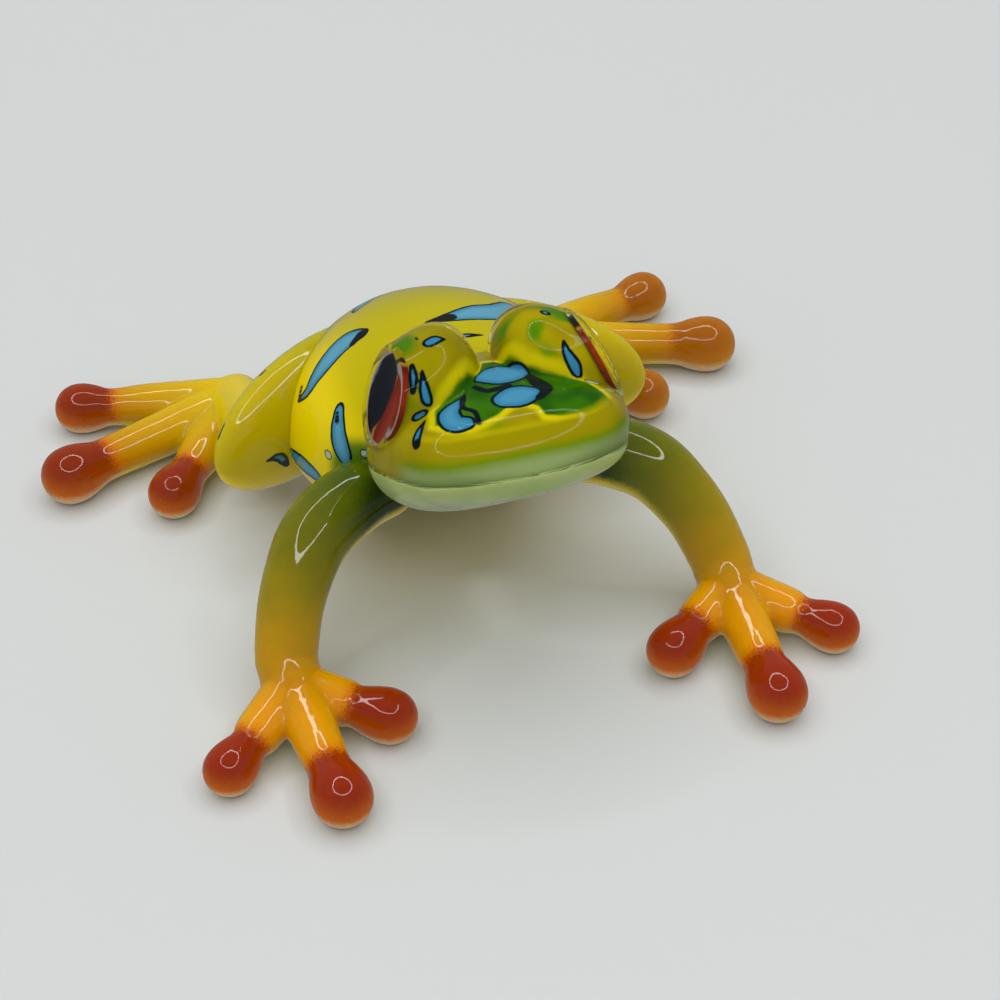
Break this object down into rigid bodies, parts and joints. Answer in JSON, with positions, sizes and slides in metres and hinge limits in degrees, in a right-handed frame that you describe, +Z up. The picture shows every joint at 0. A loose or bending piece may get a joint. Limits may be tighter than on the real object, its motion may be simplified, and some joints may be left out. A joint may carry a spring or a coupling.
{
  "type": "frog figurine",
  "caption": "Small free-standing tree frog ornament in coloured and clear resin, head raised, legs spread, standing on its round toe pads.",
  "frame": {"origin": "under the middle of the footprint, on the surface that the toe pads stand on", "axes": "+Z up, the frog faces -Y, its own left side is at +X"},
  "size_m": [0.076, 0.0688, 0.0347],
  "materials": {
    "body_yellow": "gloss",
    "body_clear": "clear gloss",
    "head_paint": "gloss",
    "head_clear": "clear gloss",
    "jaw_opal": "opal gloss",
    "iris_red": "gloss",
    "pupil_black": "gloss",
    "lens_clear": "clear gloss",
    "leg_amber": "translucent gloss",
    "thigh_amber": "translucent gloss",
    "foot_amber": "translucent gloss"
  },
  "bodies": {
    "root": {"torso_core": "body_yellow", "torso_jacket": "body_clear", "head_insert": "head_paint", "upper_head": "head_clear", "lower_jaw": "jaw_opal", "iris_left": "iris_red", "iris_right": "iris_red", "pupil_left": "pupil_black", "pupil_right": "pupil_black", "eye_lens_left": "lens_clear", "eye_lens_right": "lens_clear", "foreleg_left": "leg_amber", "foreleg_right": "leg_amber", "thigh_left": "thigh_amber", "thigh_right": "thigh_amber", "hind_foot_left": "foot_amber", "hind_foot_right": "foot_amber"}
  },
  "joints": []
}
